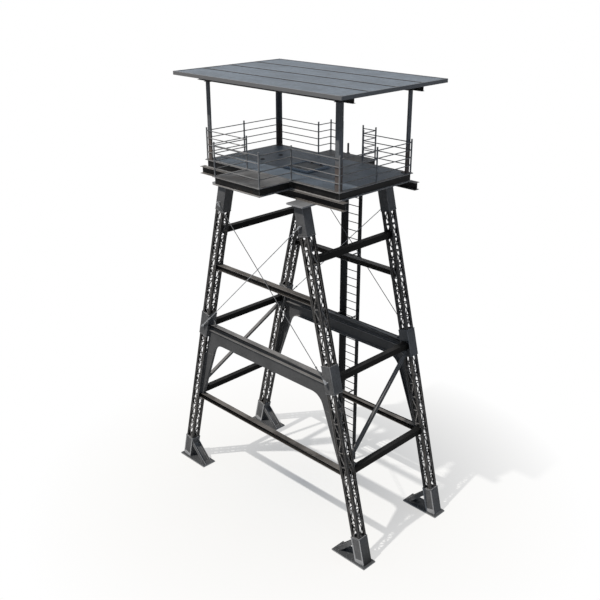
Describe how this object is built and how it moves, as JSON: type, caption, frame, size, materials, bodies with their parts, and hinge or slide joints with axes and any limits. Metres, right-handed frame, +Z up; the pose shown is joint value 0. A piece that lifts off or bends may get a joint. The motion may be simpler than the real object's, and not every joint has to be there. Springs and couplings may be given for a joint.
{
  "type": "steel watchtower",
  "caption": "Roofed lookout deck on leaning lattice legs, with portal frames, tie rods, railed balconies and a back ladder.",
  "frame": {"origin": "on the ground, at the middle of the rectangle of the four outermost anchor bolts", "axes": "+Z up, X along the long side of the deck, -Y the front with the larger balcony, +Y the back with the ladder"},
  "size_m": [9.578, 5.39, 14.836],
  "materials": {
    "lattice_steel": "matt, weathered",
    "casing_steel": "matt, weathered",
    "panel_steel": "matt, weathered",
    "beam_steel": "matt, weathered",
    "strut_steel": "matt, weathered",
    "rod_steel": "matt, weathered",
    "deck_steel": "matt, weathered",
    "floor_plate": "matt, weathered",
    "column_steel": "matt, weathered",
    "roof_paint": "matt, weathered",
    "ladder_steel": "matt, weathered",
    "rail_steel": "matt, weathered"
  },
  "bodies": {
    "root": {"balcony_back": "deck_steel", "balcony_front": "deck_steel", "bearer_back": "beam_steel", "bearer_front": "beam_steel", "cable_duct": "ladder_steel", "deck_floor": "floor_plate", "deck_frame": "deck_steel", "foot_back_left": "casing_steel", "foot_back_right": "casing_steel", "foot_front_left": "casing_steel", "foot_front_right": "casing_steel", "hatch_cover": "floor_plate", "hatch_curb": "floor_plate", "knee_back_left": "panel_steel", "knee_back_right": "panel_steel", "knee_front_left": "panel_steel", "knee_front_right": "panel_steel", "ladder": "ladder_steel", "ladder_arms": "ladder_steel", "leg_back_left": "lattice_steel", "leg_back_right": "lattice_steel", "leg_front_left": "lattice_steel", "leg_front_right": "lattice_steel", "leg_head_back_left": "casing_steel", "leg_head_back_right": "casing_steel", "leg_head_front_left": "casing_steel", "leg_head_front_right": "casing_steel", "leg_sleeve_back_left": "casing_steel", "leg_sleeve_back_right": "casing_steel", "leg_sleeve_front_left": "casing_steel", "leg_sleeve_front_right": "casing_steel", "lower_beam_back": "beam_steel", "lower_beam_front": "beam_steel", "portal_girder_back": "panel_steel", "portal_girder_front": "panel_steel", "railing_back": "rail_steel", "railing_balcony_back": "rail_steel", "railing_balcony_front": "rail_steel", "railing_end_left": "rail_steel", "railing_end_right": "rail_steel", "railing_front": "rail_steel", "roof_beams": "beam_steel", "roof_column_back_left": "column_steel", "roof_column_back_right": "column_steel", "roof_column_front_left": "column_steel", "roof_column_front_right": "column_steel", "roof_rim": "roof_paint", "roof_sheets": "roof_paint", "side_brace_left": "strut_steel", "side_brace_right": "strut_steel", "side_strut_low_left": "strut_steel", "side_strut_low_right": "strut_steel", "side_strut_middle_left": "strut_steel", "side_strut_middle_right": "strut_steel", "side_strut_top_left": "strut_steel", "side_strut_top_right": "strut_steel", "tie_rods_back": "rod_steel", "tie_rods_front": "rod_steel", "upper_beam_back": "beam_steel", "upper_beam_front": "beam_steel"}
  },
  "joints": []
}
